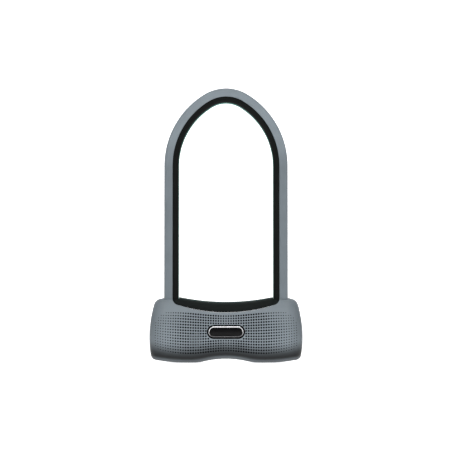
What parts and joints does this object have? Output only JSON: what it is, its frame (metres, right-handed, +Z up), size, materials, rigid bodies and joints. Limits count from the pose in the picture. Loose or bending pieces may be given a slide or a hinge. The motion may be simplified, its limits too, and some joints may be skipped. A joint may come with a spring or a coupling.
{
  "type": "u lock",
  "caption": "Bicycle U-lock with a sleeved arch-shaped shackle, a perforated siren housing with a curved dark deck, and a bottom key cylinder that throws two bolts.",
  "frame": {"origin": "on the resting plane, below the middle of the housing", "axes": "+Z up along the shackle's legs, +X right as seen from the badge side, -Y out of the badge side"},
  "size_m": [0.1746, 0.0479, 0.315],
  "materials": {
    "hardened_bar": "satin, hardened and plated",
    "sleeve_grey": "smooth matte moulding",
    "liner_black": "soft matte rubber",
    "cover_grey": "satin moulded, perforated pattern",
    "deck_black": "satin black",
    "seal_black": "matte rubber",
    "screw_steel": "black oxide",
    "badge_chrome": "polished",
    "badge_black": "gloss black",
    "case_steel": "zinc plated",
    "bolt_steel": "ground",
    "cylinder_brass": "turned",
    "bezel_steel": "satin",
    "zinc_cast": "cast",
    "spring_steel": "bright",
    "siren_black": "moulded",
    "siren_brass": "sheet",
    "membrane_grey": "woven acoustic mesh",
    "ribbon_amber": "polyimide",
    "board_green": "solder mask",
    "chip_black": "moulded",
    "cell_blue": "shrink sleeve",
    "magnet_nickel": "nickel"
  },
  "bodies": {
    "root": {"front_cover": "cover_grey", "rear_cover": "cover_grey", "deck_panel": "deck_black", "cover_seal": "seal_black", "cover_screws": "screw_steel", "badge_frame": "badge_chrome", "badge_plate": "badge_black", "entry_seals": "seal_black", "lock_case": "case_steel", "case_lid": "case_steel", "lid_screws": "screw_steel", "cylinder_housing": "cylinder_brass", "cylinder_pin": "bolt_steel", "keyway_bezel": "bezel_steel", "shutter_housing": "zinc_cast", "shutter_screws": "screw_steel", "shutter_pin": "bolt_steel", "shutter_spring": "spring_steel", "siren_capsule": "siren_black", "siren_plate": "siren_brass", "siren_membrane": "membrane_grey", "siren_ribbon": "ribbon_amber", "circuit_board": "board_green", "board_chips": "chip_black", "board_screws": "screw_steel"},
    "shackle": {"shackle_bar": "hardened_bar", "shackle_sleeve": "sleeve_grey", "shackle_liner": "liner_black", "leg_magnet": "magnet_nickel"},
    "plug": {"plug_barrel": "cylinder_brass", "drill_disc": "bolt_steel", "detainer_discs": "cylinder_brass", "sidebar": "bolt_steel", "drive_disc": "cylinder_brass"},
    "right_bolt": {"right_bolt": "bolt_steel"},
    "left_bolt": {"left_bolt": "bolt_steel"},
    "shutter": {"key_shutter": "bolt_steel"},
    "battery_tray": {"battery_door": "cover_grey", "battery_cradle": "siren_black", "battery_cell": "cell_blue", "battery_contacts": "spring_steel", "door_screw": "screw_steel"}
  },
  "joints": [
    {"name": "shackle_lift", "type": "slide", "parent": "root", "child": "shackle", "axis": [0, 0, 1], "range_m": [0, 0.055]},
    {"name": "plug_turn", "type": "hinge", "parent": "root", "child": "plug", "pos_m": [0, 0, 0.024], "axis": [0, 0, 1], "range_deg": [0, 90]},
    {"name": "right_bolt_slide", "type": "slide", "parent": "root", "child": "right_bolt", "axis": [1, 0, 0], "range_m": [0, 0.0055]},
    {"name": "left_bolt_slide", "type": "slide", "parent": "root", "child": "left_bolt", "axis": [-1, 0, 0], "range_m": [0, 0.0055]},
    {"name": "shutter_swing", "type": "hinge", "parent": "root", "child": "shutter", "pos_m": [0.00459, 0.00655, 0.0107], "axis": [0, 0, 1], "range_deg": [0, 70], "stiffness_Nm_per_rad": 0.0002, "springref_deg": -17.19},
    {"name": "battery_tray_slide", "type": "slide", "parent": "root", "child": "battery_tray", "axis": [0, 1, 0], "range_m": [0, 0.026]}
  ],
  "couplings": [
    {"joint": "right_bolt_slide", "follows": "plug_turn", "m_per_rad": 0.0035014},
    {"joint": "left_bolt_slide", "follows": "plug_turn", "m_per_rad": 0.0035014}
  ]
}
